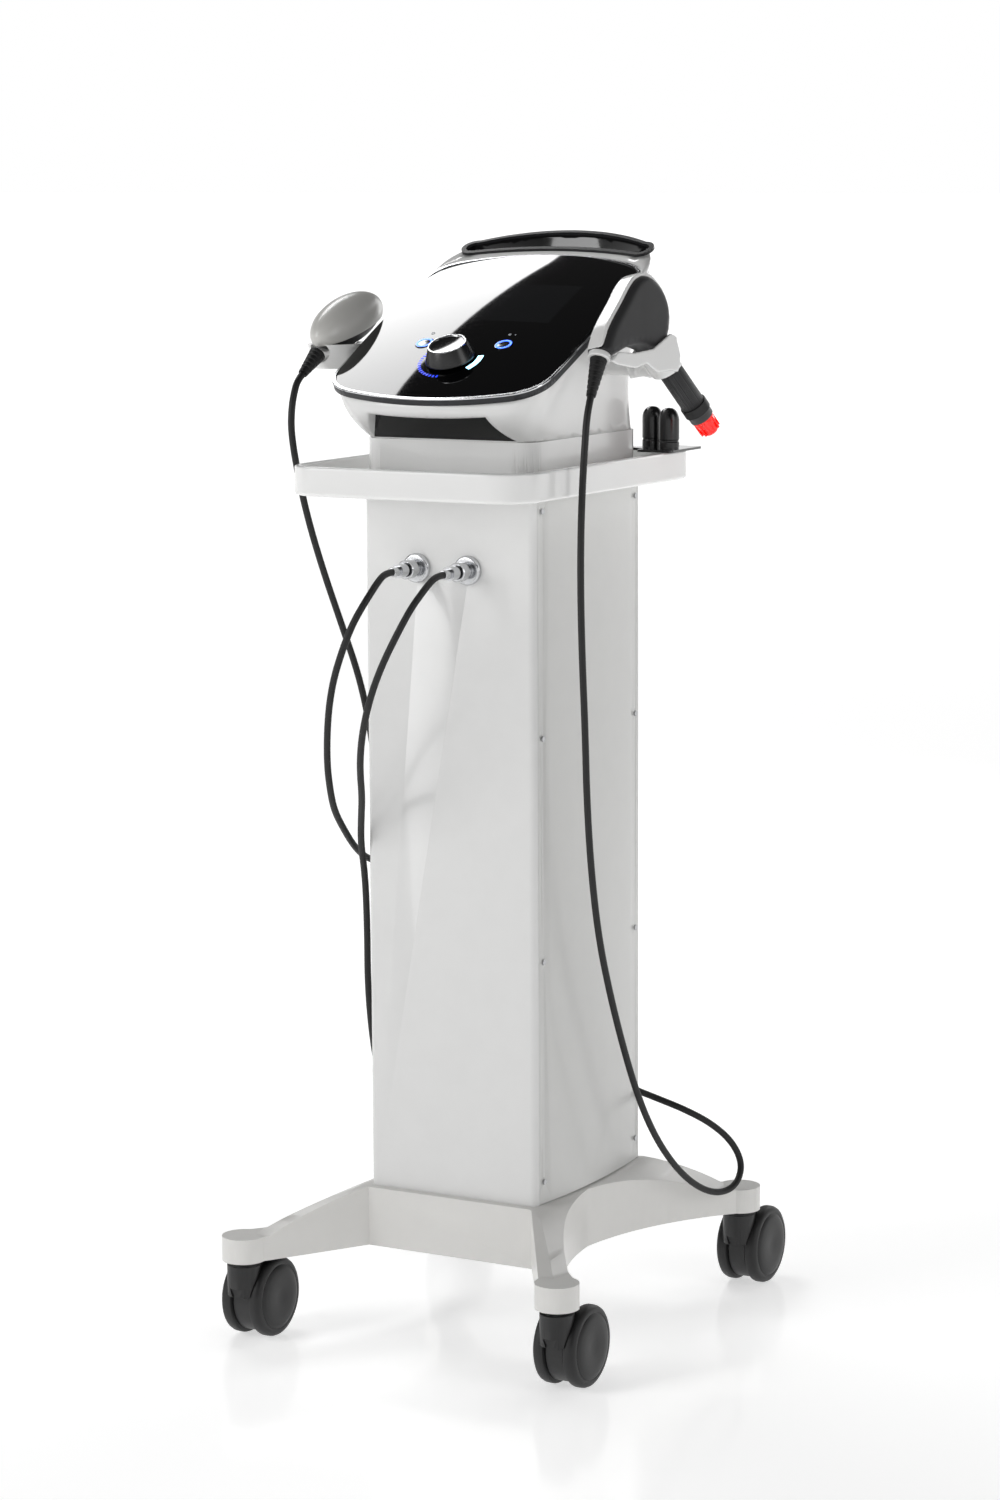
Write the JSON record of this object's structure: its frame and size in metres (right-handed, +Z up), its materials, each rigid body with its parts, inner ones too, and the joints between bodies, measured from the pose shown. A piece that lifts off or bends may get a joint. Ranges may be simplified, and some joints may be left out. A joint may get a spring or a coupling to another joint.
{
  "type": "ultrasound therapy device",
  "caption": "Physiotherapy console on a castor column with a storage tray, tilted glass control panel, dial, storage well and two corded handpieces in side holders",
  "frame": {"origin": "centre of the bounding box in X and Y, on the floor under the castors", "axes": "+X to the viewer's right when the panel is faced, +Y towards the back, +Z up"},
  "size_m": [0.503, 0.614, 1.3604],
  "materials": {
    "shell_gloss": "glossy white painted moulding",
    "base_satin": "satin warm white paint",
    "side_satin": "satin light grey paint on sheet",
    "handpiece_light": "satin warm light grey moulding",
    "handpiece_dark": "soft-touch charcoal",
    "tip_red": "translucent red cap",
    "black_rubber": "flexible black sheath",
    "black_gloss": "glossy black moulding",
    "spare_dark": "black round-topped heads",
    "rim_dark": "textured dark grey",
    "bezel_dark": "dark grey moulding",
    "trim_steel": "thin polished lip",
    "glass_black": "black printed cover glass, opaque",
    "display_dark": "unlit display",
    "button_glow": "black cap with a blue lit ring",
    "dial_black": "black dial with a bright ring",
    "connector_black": "black moulding",
    "connector_chrome": "bright plated ring",
    "castor_black": "black castor moulding",
    "wheel_black": "black tread and hub",
    "steel": "plain steel",
    "frame_paint": "dark grey painted steel frame",
    "fan_black": "black moulding",
    "cast_aluminium": "die-cast and folded aluminium",
    "tank_steel": "grey painted steel",
    "board_green": "green laminate board"
  },
  "bodies": {
    "cart": {"air_tank": "tank_steel", "base_cover": "base_satin", "base_frame": "frame_paint", "button_switches": "steel", "castor_stems": "steel", "column_frame": "frame_paint", "column_front_shell": "shell_gloss", "column_rear_shell": "side_satin", "compressor": "cast_aluminium", "console_base": "shell_gloss", "console_housing": "shell_gloss", "cord_left": "black_rubber", "cord_right": "black_rubber", "dial_encoder": "steel", "display_module": "display_dark", "fan_frame": "fan_black", "generator_board": "board_green", "holder_left": "shell_gloss", "holder_right": "shell_gloss", "mains_inlet": "connector_black", "panel_bezel": "bezel_dark", "panel_glass": "glass_black", "panel_screws": "steel", "plug_left": "connector_black", "plug_right": "connector_black", "power_supply": "cast_aluminium", "rack_plate": "black_gloss", "recess_window": "black_gloss", "side_panel_left": "side_satin", "side_panel_right": "side_satin", "sockets": "connector_chrome", "spare_heads": "spare_dark", "tray": "shell_gloss", "trim_ring": "trim_steel", "well_bowl": "black_gloss", "well_rim": "rim_dark"},
    "castor_fl": {"castor_body_fl": "castor_black"},
    "wheels_fl": {"castor_wheels_fl": "wheel_black"},
    "castor_fr": {"castor_body_fr": "castor_black"},
    "wheels_fr": {"castor_wheels_fr": "wheel_black"},
    "castor_rl": {"castor_body_rl": "castor_black"},
    "wheels_rl": {"castor_wheels_rl": "wheel_black"},
    "castor_rr": {"castor_body_rr": "castor_black"},
    "wheels_rr": {"castor_wheels_rr": "wheel_black"},
    "dial": {"dial_knob": "dial_black"},
    "button_left": {"button_left": "button_glow"},
    "plug_collar_left": {"plug_collar_left": "connector_chrome"},
    "button_right": {"button_right": "button_glow"},
    "plug_collar_right": {"plug_collar_right": "connector_chrome"},
    "power_rocker": {"power_rocker": "connector_black"},
    "fan": {"fan_rotor": "fan_black"},
    "handpiece_right": {"handpiece_right_grip": "handpiece_dark", "handpiece_right_spine": "shell_gloss", "handpiece_right_barrel": "handpiece_dark", "handpiece_right_collar": "black_rubber", "handpiece_right_tip": "tip_red", "handpiece_right_relief": "black_rubber"},
    "handpiece_left": {"handpiece_left_shell": "handpiece_light", "handpiece_left_base": "handpiece_dark", "handpiece_left_relief": "black_rubber"}
  },
  "joints": [
    {"name": "castor_fl_swivel", "type": "hinge", "parent": "cart", "child": "castor_fl", "pos_m": [-0.22, -0.278, 0.05], "axis": [0, 0, 1], "continuous": true},
    {"name": "castor_fl_roll", "type": "hinge", "parent": "castor_fl", "child": "wheels_fl", "pos_m": [-0.22, -0.241, 0.05], "axis": [1, 0, 0], "continuous": true},
    {"name": "castor_fr_swivel", "type": "hinge", "parent": "cart", "child": "castor_fr", "pos_m": [0.22, -0.278, 0.05], "axis": [0, 0, 1], "continuous": true},
    {"name": "castor_fr_roll", "type": "hinge", "parent": "castor_fr", "child": "wheels_fr", "pos_m": [0.22, -0.241, 0.05], "axis": [1, 0, 0], "continuous": true},
    {"name": "castor_rl_swivel", "type": "hinge", "parent": "cart", "child": "castor_rl", "pos_m": [-0.22, 0.222, 0.05], "axis": [0, 0, 1], "continuous": true},
    {"name": "castor_rl_roll", "type": "hinge", "parent": "castor_rl", "child": "wheels_rl", "pos_m": [-0.22, 0.259, 0.05], "axis": [1, 0, 0], "continuous": true},
    {"name": "castor_rr_swivel", "type": "hinge", "parent": "cart", "child": "castor_rr", "pos_m": [0.22, 0.222, 0.05], "axis": [0, 0, 1], "continuous": true},
    {"name": "castor_rr_roll", "type": "hinge", "parent": "castor_rr", "child": "wheels_rr", "pos_m": [0.22, 0.259, 0.05], "axis": [1, 0, 0], "continuous": true},
    {"name": "dial_turn", "type": "hinge", "parent": "cart", "child": "dial", "pos_m": [0, -0.127, 1.2069], "axis": [0, -0.4352, 0.9003], "continuous": true},
    {"name": "button_left_press", "type": "slide", "parent": "cart", "child": "button_left", "axis": [0, 0.4352, -0.9003], "range_m": [0, 0.001], "stiffness_N_per_m": 400, "springref_m": -0.0006},
    {"name": "plug_collar_left_pull", "type": "slide", "parent": "cart", "child": "plug_collar_left", "axis": [0, -1, 0], "range_m": [0, 0.0025], "stiffness_N_per_m": 600, "springref_m": -0.0005},
    {"name": "button_right_press", "type": "slide", "parent": "cart", "child": "button_right", "axis": [0, 0.4352, -0.9003], "range_m": [0, 0.001], "stiffness_N_per_m": 400, "springref_m": -0.0006},
    {"name": "plug_collar_right_pull", "type": "slide", "parent": "cart", "child": "plug_collar_right", "axis": [0, -1, 0], "range_m": [0, 0.0025], "stiffness_N_per_m": 600, "springref_m": -0.0005},
    {"name": "power_rocker_tilt", "type": "hinge", "parent": "cart", "child": "power_rocker", "pos_m": [0, 0.1395, 0.277], "axis": [1, 0, 0], "range_deg": [-7, 7]},
    {"name": "fan_spin", "type": "hinge", "parent": "cart", "child": "fan", "pos_m": [0, 0.125, 0.884], "axis": [0, 1, 0], "continuous": true},
    {"name": "handpiece_right_lift", "type": "slide", "parent": "cart", "child": "handpiece_right", "axis": [0, 0.7871, 0.6168], "range_m": [0, 0.08]},
    {"name": "handpiece_left_lift", "type": "slide", "parent": "cart", "child": "handpiece_left", "axis": [0, 0, 1], "range_m": [0, 0.06]}
  ]
}
